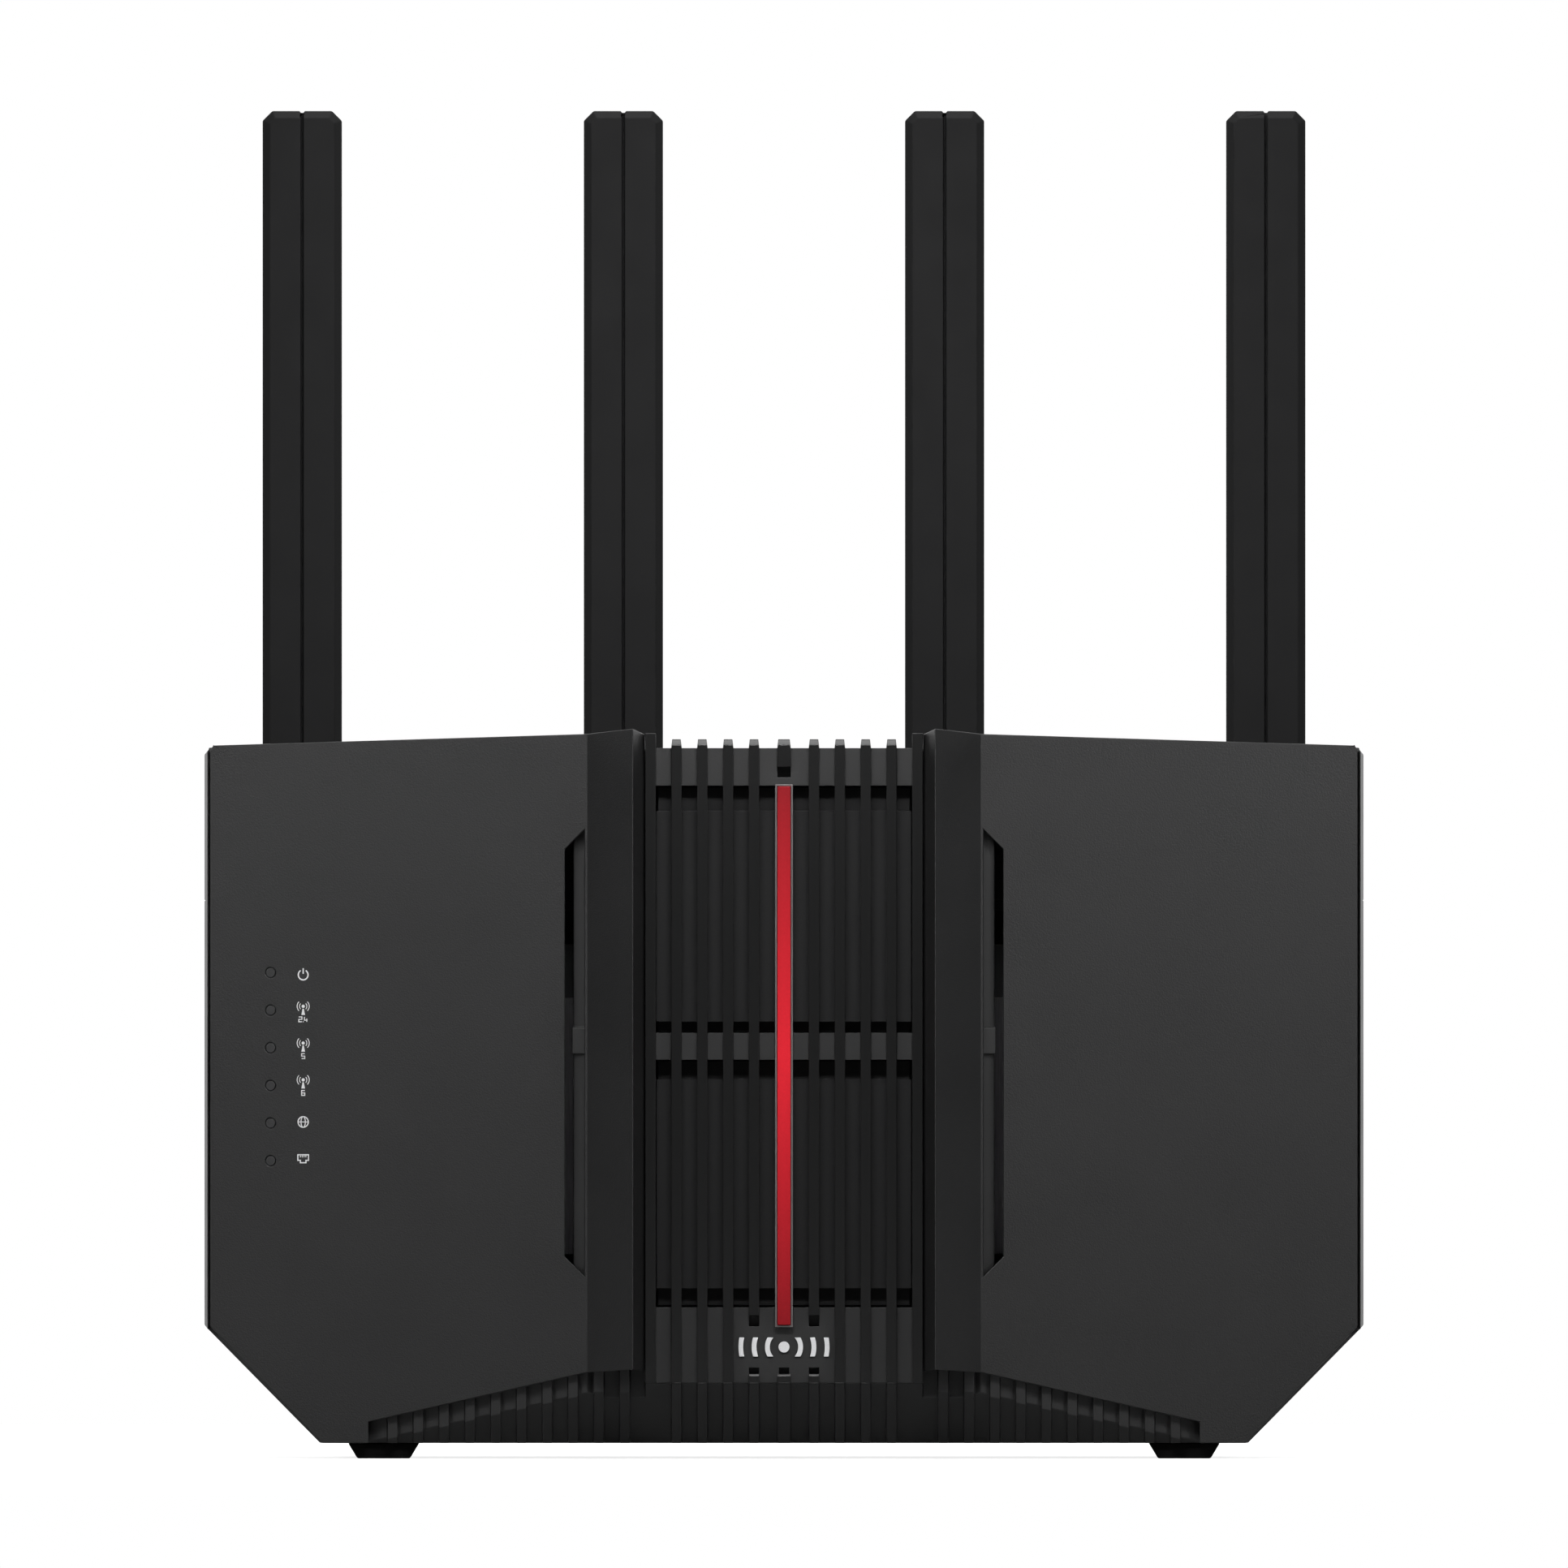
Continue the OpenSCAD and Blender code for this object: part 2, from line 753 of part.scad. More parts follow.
module tact_switches() {
    color("silver") for (x = [wps_x, reset_x])
        block([x - 3, board_back_y, port_z - 3], [x + 3, board_back_y + 3.5, port_z + 3]);
}

// ---- Fixings ----

module rating_label() {
    color("lightgray") block([-40, back_y - 0.35, 37], [40, back_y - 0.1, 57]);
}

module rubber_feet() {
    color("#101010") for (x = [-feet_x, feet_x], y = feet_y)
        along_y(y[0], y[1]) polygon([[x - 5.95, 0], [x + 5.95, 0], [x + 8.05, base_z], [x - 8.05, base_z]]);
}

module housing_screws() {
    color("silver") for (spot = screw_spots) screw(spot, 16.4, 14, -8.5, 2.9, 1.5);
}

// ---- Antennas ----

function antenna_x(n) = (n - 2.5) * antenna_pitch;

// Places the children over the shelf, on the turning axis of antenna n
module at_antenna(n) {
    translate([antenna_x(n), antenna_y, shelf_z]) children();
}

// Turning base: disc, hollow stem and two ears for the hinge pin
module antenna_base() {
    color("#1e1e1f") difference() {
        union() {
            translate([0, 0, free_gap]) cylinder(r = 9.5, h = 2.5);
            translate([0, 0, -9]) cylinder(r = stem_r, h = 10);
            for (side = [-1, 1]) {
                block([side * 6.7 - 1.7, -ear_r, 1], [side * 6.7 + 1.7, ear_r, hinge_h]);
                translate([side * 6.7 - 1.7, 0, hinge_h]) rotate([0, 90, 0]) cylinder(r = ear_r, h = 3.4);
            }
        }
        translate([0, 0, -10]) cylinder(r = 2, h = 20);
        translate([-10, 0, hinge_h]) rotate([0, 90, 0]) cylinder(r = pin_r, h = 20);
    }
}

module antenna_nut() {
    color("silver") translate([0, 0, -6.8]) difference() {
        cylinder(r = 7, h = 4.2, $fn = 6);
        translate([0, 0, -1]) cylinder(r = stem_r, h = 8);
    }
}

module hinge_pin() {
    color("silver") translate([-8.4, 0, hinge_h]) rotate([0, 90, 0]) cylinder(r = pin_r, h = 16.8);
}

// Blade with bevelled edges and cut top corners, from the hinge up
module blade_form() {
    w = blade_w / 2;
    t = blade_t / 2;
    b = blade_bevel;
    corner = 2.2;
    difference() {
        intersection() {
            translate([0, 0, blade_foot]) linear_extrude(blade_top - blade_foot) polygon([
                [-w, -t + b], [-w + b, -t], [w - b, -t], [w, -t + b],
                [w, t - b], [w - b, t], [-w + b, t], [-w, t - b],
            ]);
            along_y(-t, t) polygon([
                [-w, 0], [w, 0], [w, blade_top - corner], [w - corner, blade_top],
                [-w + corner, blade_top], [-w, blade_top - corner],
            ]);
            along_x(-w, w) polygon([
                [-t, 0], [t, 0], [t, blade_top - b], [t - b, blade_top],
                [-t + b, blade_top], [-t, blade_top - b],
            ]);
        }
        for (side = [-1, 1], face = [-1, 1])
            translate([side * (w - corner / 2), face * (t - b), blade_top - corner / 2])
                rotate([0, side * -45, 0]) mirror([side < 0 ? 1 : 0, 0, 0])
                    rotate([0, 0, face * 45]) block([0, -10, -10], [20, 10, 10]);
    }
}

module blade_room() {
    block([-5.6, -3.2, blade_foot + 6], [5.6, 3.2, blade_top - 8]);
}

// Small nick across the top of the blade, at the end of the groove
module top_notch() {
    block([-0.45, -20, blade_top - 0.4], [0.45, 20, 300]);
}

module antenna_front() {
    color("#242425") difference() {
        blade_form();
        blade_room();
        block([-20, 0, 0], [20, 20, 300]);
        block([-0.28, -20, 0], [0.28, -blade_t / 2 + 0.9, 300]);
        top_notch();
    }
}

module antenna_rear() {
    color("#242425") difference() {
        union() {
            difference() {
                blade_form();
                block([-20, -20, 0], [20, 0, 300]);
            }
            block([-4.7, -3.6, hinge_h], [4.7, 4.2, blade_foot]);
            block([-4.7, 0, hinge_h], [4.7, 4.2, blade_foot + 1]);
            translate([-4.7, 0, hinge_h]) rotate([0, 90, 0]) cylinder(r = 4.2, h = 9.4);
        }
        blade_room();
        top_notch();
        translate([-10, 0, hinge_h]) rotate([0, 90, 0]) cylinder(r = pin_r + run_gap, h = 20);
    }
}

module antenna_board() {
    color("#111312") block([-5, -0.4, blade_foot + 8], [5, 0.4, blade_top - 20]);
}

front_housing();
rear_housing();
upper_back_cover();
left_wing_cover();
right_wing_cover();
centre_grille();
upper_vent_panel();
lower_vent_panel();
light_bar();
light_bar_bezel();
badge();
led_lenses();
led_board();
light_bar_board();
main_board();
rf_shields();
thermal_pads();
heat_sink();
port_plate();
wan_jack();
lan_jacks();
usb_shell();
usb_tongue();
dc_inlet();
dc_pin();
power_button();
wps_button();
reset_button();
power_switch();
tact_switches();
rating_label();
rubber_feet();
housing_screws();
board_screws();
coax_leads();
for (n = [1:4]) {
    at_antenna(n) antenna_base();
    at_antenna(n) antenna_nut();
    at_antenna(n) hinge_pin();
    at_antenna(n) antenna_front();
    at_antenna(n) antenna_rear();
    at_antenna(n) antenna_board();
}
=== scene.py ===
"""Looks of the wireless router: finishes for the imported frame, printed marks, contacts, light and camera.

Lengths are metres, as in the frame, unless a name or comment says millimetres. The front faces -Y.
"""
import json
import math

import bmesh
import bpy
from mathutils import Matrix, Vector


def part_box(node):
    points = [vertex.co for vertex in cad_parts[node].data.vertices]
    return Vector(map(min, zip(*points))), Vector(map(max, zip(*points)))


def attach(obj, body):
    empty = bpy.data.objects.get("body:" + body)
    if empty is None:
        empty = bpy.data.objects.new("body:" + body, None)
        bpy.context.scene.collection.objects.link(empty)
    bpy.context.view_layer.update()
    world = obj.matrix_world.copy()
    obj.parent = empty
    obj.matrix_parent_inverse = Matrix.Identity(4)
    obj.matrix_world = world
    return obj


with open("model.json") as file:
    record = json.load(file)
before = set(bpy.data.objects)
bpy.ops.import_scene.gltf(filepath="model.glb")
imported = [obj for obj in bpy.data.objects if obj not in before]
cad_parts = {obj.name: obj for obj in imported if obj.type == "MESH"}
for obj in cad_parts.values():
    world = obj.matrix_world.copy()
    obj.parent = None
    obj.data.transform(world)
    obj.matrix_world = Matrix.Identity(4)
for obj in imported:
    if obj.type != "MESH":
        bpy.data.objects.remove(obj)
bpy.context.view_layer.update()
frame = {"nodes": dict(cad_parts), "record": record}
nodes = frame["nodes"]
MM = 0.001


# ---- Shader helper ----


class Shader:
    """A Principled material with short calls for the few node patterns that the finishes share."""

    def __init__(self, name, colour, roughness, **values):
        self.material = bpy.data.materials.new(name)
        self.material.use_nodes = True
        self.tree = self.material.node_tree
        self.bsdf = self.tree.nodes["Principled BSDF"]
        self.set("Base Color", (*colour, 1))
        self.set("Roughness", roughness)
        for socket, value in values.items():
            self.set(socket.replace("_", " "), value)

    def set(self, socket, value):
        self.bsdf.inputs[socket].default_value = value

    def node(self, kind, **settings):
        node = self.tree.nodes.new(kind)
        for name, value in settings.items():
            setattr(node, name, value)
        return node

    def link(self, source, target):
        self.tree.links.new(source, target)

    def place(self, stretch=(1, 1, 1)):
        """The point on the surface, with its axes scaled by stretch."""
        node = self.node("ShaderNodeMapping")
        node.inputs["Scale"].default_value = stretch
        self.link(self.node("ShaderNodeTexCoord").outputs["Object"], node.inputs["Vector"])
        return node.outputs["Vector"]

    def axis(self, letter):
        node = self.node("ShaderNodeSeparateXYZ")
        self.link(self.place(), node.inputs["Vector"])
        return node.outputs[letter]

    def noise(self, size, detail=2.0, roughness=0.5, stretch=(1, 1, 1)):
        """Noise whose grains are about size metres across."""
        node = self.node("ShaderNodeTexNoise")
        node.inputs["Scale"].default_value = 1 / size
        node.inputs["Detail"].default_value = detail
        node.inputs["Roughness"].default_value = roughness
        self.link(self.place(stretch), node.inputs["Vector"])
        return node.outputs["Fac"]

    def spread(self, value, low, high, start=0.3, end=0.7):
        """Takes a value from start to end over to the range from low to high."""
        node = self.node("ShaderNodeMapRange")
        node.inputs["From Min"].default_value = start
        node.inputs["From Max"].default_value = end
        node.inputs["To Min"].default_value = low
        node.inputs["To Max"].default_value = high
        self.link(value, node.inputs["Value"])
        return node.outputs["Result"]

    def math(self, operation, a, b):
        """a and b joined by a math operation; either may be a number."""
        node = self.node("ShaderNodeMath", operation=operation)
        for socket, value in zip(node.inputs, (a, b)):
            if isinstance(value, (int, float)):
                socket.default_value = value
            else:
                self.link(value, socket)
        return node.outputs["Value"]

    def bump(self, height, depth):
        """Bump of the given depth in metres; height is 0 to 1. It adds to any bump already there."""
        node = self.node("ShaderNodeBump")
        node.inputs["Distance"].default_value = depth
        self.link(height, node.inputs["Height"])
        normal = self.bsdf.inputs["Normal"]
        if normal.is_linked:
            self.link(normal.links[0].from_socket, node.inputs["Normal"])
        self.link(node.outputs["Normal"], normal)

    def shade(self, factor):
        """Multiplies the base colour by a factor that varies over the surface."""
        node = self.node("ShaderNodeVectorMath", operation="SCALE")
        node.inputs[0].default_value = self.bsdf.inputs["Base Color"].default_value[:3]
        self.link(factor, node.inputs["Scale"])
        self.link(node.outputs["Vector"], self.bsdf.inputs["Base Color"])

    def rough(self, value):
        self.link(value, self.bsdf.inputs["Roughness"])


# ---- Finishes ----


def grained_plastic(name, colour, roughness=0.5, grain=0.35 * MM, depth=0.02 * MM, speckle=0.2, shine=0.5):
    """Spark-eroded moulding: even fine grain, slight speckle in its colour and broad changes of sheen."""
    s = Shader(name, colour, roughness, Specular_IOR_Level=shine)
    fine = s.noise(grain, detail=3.0, roughness=0.6)
    broad = s.noise(22 * MM)
    s.shade(s.spread(fine, 1 - speckle, 1 + speckle))
    s.rough(s.spread(broad, roughness - 0.03, roughness + 0.03))
    s.bump(fine, depth)
    return s


def satin_plastic(name, colour, roughness=0.35, shine=0.5):
    """Smooth moulding: faint flow marks, and hairline scuffs in its sheen."""
    s = Shader(name, colour, roughness, Specular_IOR_Level=shine)
    flow = s.noise(9 * MM, detail=3.0)
    scuffs = s.noise(0.6 * MM, detail=4.0, stretch=(1, 1, 0.15))
    s.shade(s.spread(scuffs, 0.95, 1.05))
    sheen = s.spread(flow, roughness - 0.03, roughness + 0.02)
    s.rough(s.math("ADD", sheen, s.spread(scuffs, -0.015, 0.015)))
    s.bump(scuffs, 0.003 * MM)
    return s


def grille_plastic(name, colour, rib_front, band_front):
    """One moulding with two textures: smooth dark ribs, and lighter grained bands set back between them."""
    s = Shader(name, colour, 0.4)
    halfway = (rib_front + band_front) / 2
    recessed = s.spread(s.axis("Y"), 0, 1, halfway, halfway + 0.05 * MM)
    fine = s.noise(0.35 * MM, detail=3.0, roughness=0.6)
    grain = s.math("MULTIPLY", fine, recessed)
    s.shade(s.math("MULTIPLY", s.spread(recessed, 1, 2.3, 0, 1), s.spread(grain, 0.9, 1.15)))
    s.rough(s.spread(recessed, 0.29, 0.52, 0, 1))
    s.bump(grain, 0.02 * MM)
    return s


def bar_plastic(name, colour, low, high):
    """Tinted light guide, brightest halfway up where the lamps behind it sit."""
    s = Shader(name, colour, 0.5, Specular_IOR_Level=0.15)
    middle = (low + high) / 2
    offset = s.math("ABSOLUTE", s.math("SUBTRACT", s.axis("Z"), middle), 0)
    glow = s.spread(offset, 1, 0, 0, (high - low) / 2)
    haze = s.noise(0.5 * MM, detail=3.0)
    s.shade(s.math("MULTIPLY", s.spread(glow, 0.5, 1.15, 0, 1), s.spread(haze, 0.95, 1.05)))
    s.set("Emission Color", (*colour, 1))
    s.link(s.spread(glow, 0.0, 0.25, 0, 1), s.bsdf.inputs["Emission Strength"])
    s.bump(haze, 0.004 * MM)
    return s


def silver_paint(name, colour, roughness=0.4):
    """Pad-printed silver with fine flakes in its colour, sheen and surface."""
    s = Shader(name, colour, roughness)
    flakes = s.noise(0.12 * MM, detail=2.0)
    s.shade(s.spread(flakes, 0.88, 1.08))
    s.rough(s.spread(flakes, roughness - 0.08, roughness + 0.08))
    s.bump(flakes, 0.004 * MM)
    return s


def metal(name, colour, roughness=0.3):
    """Bare metal with fine lines drawn along Z."""
    s = Shader(name, colour, roughness, Metallic=1.0)
    lines = s.noise(0.25 * MM, detail=4.0, stretch=(1, 1, 0.05))
    s.shade(s.spread(lines, 0.85, 1.1))
    s.rough(s.spread(lines, roughness - 0.08, roughness + 0.1))
    s.bump(lines, 0.003 * MM)
    return s


def gloss_plastic(name, colour, roughness=0.22):
    """Unpainted coloured moulding for the jacks, with a faint orange-peel skin."""
    s = Shader(name, colour, roughness)
    skin = s.noise(0.8 * MM, detail=2.0)
    s.shade(s.spread(s.noise(5 * MM), 0.92, 1.06))
    s.rough(s.spread(skin, roughness - 0.04, roughness + 0.06))
    s.bump(skin, 0.006 * MM)
    return s


def rubber(name, colour, roughness=0.75, shine=0.3):
    """Soft dull skin with a blotchy bloom in its colour and sheen."""
    s = Shader(name, colour, roughness, Specular_IOR_Level=shine)
    bloom = s.noise(1.5 * MM, detail=4.0)
    s.shade(s.spread(bloom, 0.8, 1.3))
    s.rough(s.spread(bloom, roughness - 0.1, roughness + 0.08))
    s.bump(s.noise(0.2 * MM), 0.01 * MM)
    return s


def circuit_board(name, colour):
    """Solder mask over copper, with tracks on a square grid."""
    s = Shader(name, colour, 0.35)
    tracks = s.node("ShaderNodeTexBrick", offset=0.5)
    sizes = {"Scale": 160, "Mortar Size": 0.02, "Brick Width": 0.9, "Row Height": 0.2}
    for socket, value in sizes.items():
        tracks.inputs[socket].default_value = value
    s.link(s.place(), tracks.inputs["Vector"])
    s.shade(s.spread(tracks.outputs["Fac"], 1, 1.8, 0, 1))
    s.bump(tracks.outputs["Fac"], 0.02 * MM)
    return s


def anodised(name, colour, roughness=0.5):
    """Dyed extrusion: die lines along its fins and a dull even sheen."""
    s = Shader(name, colour, roughness, Metallic=0.4)
    lines = s.noise(0.3 * MM, detail=4.0, stretch=(1, 1, 0.04))
    s.shade(s.spread(lines, 0.8, 1.25))
    s.rough(s.spread(lines, roughness - 0.06, roughness + 0.06))
    s.bump(lines, 0.006 * MM)
    return s


def label_film(name, colour):
    """Matt printed film with a faint upright weave."""
    s = Shader(name, colour, 0.3)
    fibres = s.noise(0.3 * MM, detail=3.0, stretch=(1, 1, 0.3))
    s.shade(s.spread(fibres, 0.96, 1.03))
    s.rough(s.spread(s.noise(8 * MM), 0.26, 0.36))
    s.bump(fibres, 0.002 * MM)
    return s


# Fronts of the ribs and of the bands that the badge lies on, and the ends of the light bar
rib_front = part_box("centre_grille")[0].y
band_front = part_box("badge")[1].y
bar_low, bar_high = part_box("light_bar")

# One finish for each material slot
FINISHES = {
    "cover": grained_plastic("cover_plastic", (0.0035, 0.0035, 0.0037), 0.48, depth=0.06 * MM),
    "housing": grained_plastic("housing_plastic", (0.006, 0.006, 0.0062), 0.48),
    "housing_back": grained_plastic("back_plastic", (0.012, 0.012, 0.0125), 0.5),
    "port_plate": grained_plastic("plate_plastic", (0.010, 0.010, 0.0105), 0.45, grain=0.25 * MM),
    "vent_panel": grained_plastic("panel_plastic", (0.007, 0.007, 0.0073), 0.6, grain=0.3 * MM, shine=0.25),
    "grille": grille_plastic("grille_plastic", (0.003, 0.003, 0.0031), rib_front, band_front),
    "light_bar": bar_plastic("bar_plastic", (0.42, 0.008, 0.016), bar_low.z, bar_high.z),
    "bezel": satin_plastic("bezel_plastic", (0.11, 0.1, 0.1), 0.4),
    "badge": silver_paint("badge_silver", (0.62, 0.62, 0.63)),
    "lens": grained_plastic("lens_plastic", (0.015, 0.015, 0.0155), 0.42, grain=0.3 * MM),
    "board": circuit_board("board_mask", (0.03, 0.032, 0.032)),
    "shield": metal("tinned_steel", (0.6, 0.6, 0.58), 0.35),
    "pad": rubber("pad_silicone", (0.3, 0.42, 0.5), 0.6),
    "heat_sink": anodised("anodised_aluminium", (0.15, 0.15, 0.155)),
    "jack_blue": gloss_plastic("blue_moulding", (0.02, 0.09, 0.35)),
    "jack_yellow": gloss_plastic("yellow_moulding", (0.6, 0.36, 0.02)),
    "inlet": gloss_plastic("black_moulding", (0.01, 0.01, 0.01)),
    "contact": metal("gold_plating", (0.9, 0.62, 0.25), 0.2),
    "button": satin_plastic("button_plastic", (0.02, 0.02, 0.021), 0.4),
    "reset": gloss_plastic("red_moulding", (0.4, 0.02, 0.02)),
    "label": label_film("label_film", (0.4, 0.4, 0.41)),
    "feet": rubber("foot_rubber", (0.002, 0.002, 0.002), 0.8, 0.1),
    "screw": metal("zinc_plating", (0.55, 0.55, 0.56), 0.3),
    "lead": rubber("lead_jacket", (0.01, 0.01, 0.01), 0.5),
    "antenna_base": satin_plastic("stand_plastic", (0.013, 0.013, 0.0135), 0.42),
    "antenna": satin_plastic("antenna_plastic", (0.005, 0.005, 0.0052), 0.7, 0.15),
}
label_ink = rubber("label_ink", (0.03, 0.03, 0.03), 0.6).material

# ---- Softened edges on the CAD nodes ----

# Edge radius in millimetres where it isn't the usual one
USUAL_EDGE = 0.25
EDGES = {
    "badge": 0.1,
    "light_bar_bezel": 0.12,
    "led_lenses": 0.15,
    "centre_grille": 0.1,
    "port_plate": 0.2,
    "rating_label": 0.08,
    "housing_screws": 0.12,
    "board_screws": 0.12,
    "usb_tongue": 0.2,
    "rubber_feet": 0.4,
    "power_button": 0.4,
    "wps_button": 0.4,
    "heat_sink": 0.2,
}


def soften(name, width):
    """Joins a node's triangles into flat faces, rounds its edges and keeps its flats flat."""
    node = nodes[name]
    weld = node.modifiers.new("weld", "WELD")
    weld.merge_threshold = 0.002 * MM
    flat = node.modifiers.new("flat", "DECIMATE")
    flat.decimate_type = "DISSOLVE"
    flat.angle_limit = math.radians(1)
    bevel = node.modifiers.new("edges", "BEVEL")
    bevel.width = width * MM
    bevel.segments = 2
    bevel.limit_method = "ANGLE"
    bevel.angle_limit = math.radians(20)
    bevel.use_clamp_overlap = False
    node.modifiers.new("normals", "WEIGHTED_NORMAL")


def finish_cad_nodes():
    """Softens every CAD node and gives it the finish of its slot."""
    for row in frame["record"]["subparts"]:
        name = row["node"]
        soften(name, EDGES.get(name, USUAL_EDGE))
        slots = nodes[name].data.materials
        slots.clear()
        slots.append(FINISHES[row["material_slot"]].material)


# ---- Printed marks ----

LAN_JACKS = 4
# Thickness of the ink above the face, in millimetres
INK = 0.03


def arc(x, z, r, start, end, steps=24):
    """Points of an arc round (x, z), from start to end in degrees, anticlockwise from the right."""
    angles = [math.radians(start + (end - start) * i / steps) for i in range(steps + 1)]
    return [(x + r * math.cos(a), z + r * math.sin(a)) for a in angles]


def stroke(points, width, closed=False):
    """Both sides of a line of the given width along the points, as matching left and right points."""
    path = [Vector(p) for p in points]
    count = len(path)
    left, right = [], []
    for i, here in enumerate(path):
        before = path[i - 1] if i or closed else None
        after = path[(i + 1) % count] if i + 1 < count or closed else None
        a = (here - before).normalized() if before else (after - here).normalized()
        b = (after - here).normalized() if after else a
        side = Vector((-a.y - b.y, a.x + b.x)) / (1 + a.dot(b))
        left.append(here + side * width / 2)
        right.append(here - side * width / 2)
    return left, right


class Print:
    """Thin raised ink on a flat face, drawn in millimetres to the right of and above an origin."""

    def __init__(self, name, origin, right, out):
        self.name = name
        self.origin = Vector(origin)
        self.right = Vector(right)
        self.out = Vector(out)
        self.verts = []
        self.faces = []

    def point(self, p, height):
        return self.origin + self.right * p[0] * MM + Vector((0, 0, p[1] * MM)) + self.out * height * MM

    def line(self, points, width, closed=False):
        """A closed strip of ink along the points."""
        left, right = stroke(points, width, closed)
        first = len(self.verts)
        for a, b in zip(left, right):
            for p, height in ((a, INK), (b, INK), (b, -INK), (a, -INK)):
                self.verts.append(self.point(p, height))
        rings = len(left)
        for i in range(rings if closed else rings - 1):
            here, after = first + 4 * i, first + 4 * ((i + 1) % rings)
            for k in range(4):
                n = (k + 1) % 4
                self.faces.append((here + k, after + k, after + n, here + n))
        if not closed:
            last = first + 4 * (rings - 1)
            self.faces.append((first, first + 1, first + 2, first + 3))
            self.faces.append((last + 3, last + 2, last + 1, last))

    def shape(self, points):
        """A filled convex outline."""
        first = len(self.verts)
        count = len(points)
        for height in (INK, -INK):
            self.verts += [self.point(p, height) for p in points]
        self.faces.append([first + i for i in range(count)])
        self.faces.append([first + 2 * count - 1 - i for i in range(count)])
        for i in range(count):
            n = (i + 1) % count
            self.faces.append((first + i, first + count + i, first + count + n, first + n))

    def dot(self, x, z, r):
        self.shape(arc(x, z, r, 0, 345, 23))

    def finish(self, finish, slot, body="housing"):
        """Makes the piece and lets it ride on a body."""
        piece = add_piece(self.name, self.verts, self.faces, finish)
        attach(piece, body)


def add_piece(name, verts, faces, finish):
    """A new object with the finish, and with its normals turned outwards."""
    mesh = bpy.data.meshes.new(name)
    mesh.from_pydata(verts, [], faces)
    work = bmesh.new()
    work.from_mesh(mesh)
    bmesh.ops.recalc_face_normals(work, faces=work.faces)
    work.to_mesh(mesh)
    work.free()
    piece = bpy.data.objects.new(name, mesh)
    bpy.context.collection.objects.link(piece)
    mesh.materials.append(finish)
    return piece


# Strokes of square-cornered digits on a grid, with the grid's size and the gap between characters
DIGITS = {
    "1": [[(1, 6), (2.4, 6), (2.4, 0)]],
    "2": [[(0, 6), (4, 6), (4, 3), (0, 3), (0, 0), (4, 0)]],
    "3": [[(0, 6), (4, 6), (4, 0), (0, 0)], [(1, 3), (4, 3)]],
    "4": [[(0, 6), (0, 2), (4, 2)], [(3, 4), (3, 0)]],
    "5": [[(4, 6), (0, 6), (0, 3), (4, 3), (4, 0), (0, 0)]],
    "6": [[(4, 6), (0, 6), (0, 0), (4, 0), (4, 3), (0, 3)]],
    ".": [[(0, -0.5), (0, 0.5)]],
}
GRID_HEIGHT = 6
GRID_WIDTH = 4
NARROW = {".": 0}
GAP = 1.6


def number(ink, text, x, z, height, width):
    """Writes digits centred on (x, z)."""
    unit = height / GRID_HEIGHT
    bottom = z - height / 2
    steps = [(NARROW.get(character, GRID_WIDTH) + GAP) * unit for character in text]
    left = x - (sum(steps) - GAP * unit) / 2
    for character, step in zip(text, steps):
        for path in DIGITS[character]:
            ink.line([(left + a * unit, bottom + b * unit) for a, b in path], width)
        left += step


def power_icon(ink, r, width):
    """A ring open at the top, with an upright line in the gap."""
    ink.line(arc(0, 0, r, 122, 418), width)
    ink.line([(0, r * 0.2), (0, r * 1.3)], width)


def mast_icon(ink, z):
    """Radio mast: a dot with two waves on each side, and a tapered mast below."""
    ink.dot(0, z, 0.36)
    for r in (0.86, 1.42):
        ink.line(arc(0, z, r, -46, 46, 10), 0.17)
        ink.line(arc(0, z, r, 134, 226, 10), 0.17)
    ink.shape([(-0.14, z - 0.55), (-0.42, z - 1.95), (0.42, z - 1.95), (0.14, z - 0.55)])


def globe_icon(ink, r, width):
    """A circle with a narrow ellipse and a level line across it."""
    ink.line(arc(0, 0, r, 0, 345, 23), width, closed=True)
    narrow = [(x * 0.42, z) for x, z in arc(0, 0, r, 0, 345, 23)]
    ink.line(narrow, width * 0.8, closed=True)
    ink.line([(-r, 0), (r, 0)], width * 0.8)


def socket_icon(ink, w, width):
    """Network socket: an outline with a stepped latch slot below and four contacts above."""
    h = w * 0.72
    left_side = [(-w / 2, h / 2), (-w / 2, -h * 0.2), (-w * 0.26, -h * 0.2), (-w * 0.26, -h / 2)]
    right_side = [(-x, z) for x, z in reversed(left_side)]
    ink.line(left_side + right_side, width, closed=True)
    for i in range(4):
        x = (i - 1.5) * w * 0.17
        ink.line([(x, h * 0.5), (x, h * 0.18)], width * 0.8)


def on_front(node, x, z):
    """Where a ray from the front meets a node, and the normal there."""
    start = Vector((x, -1, z))
    _, place, normal, _ = nodes[node].ray_cast(start, Vector((0, 1, 0)))
    return place, normal


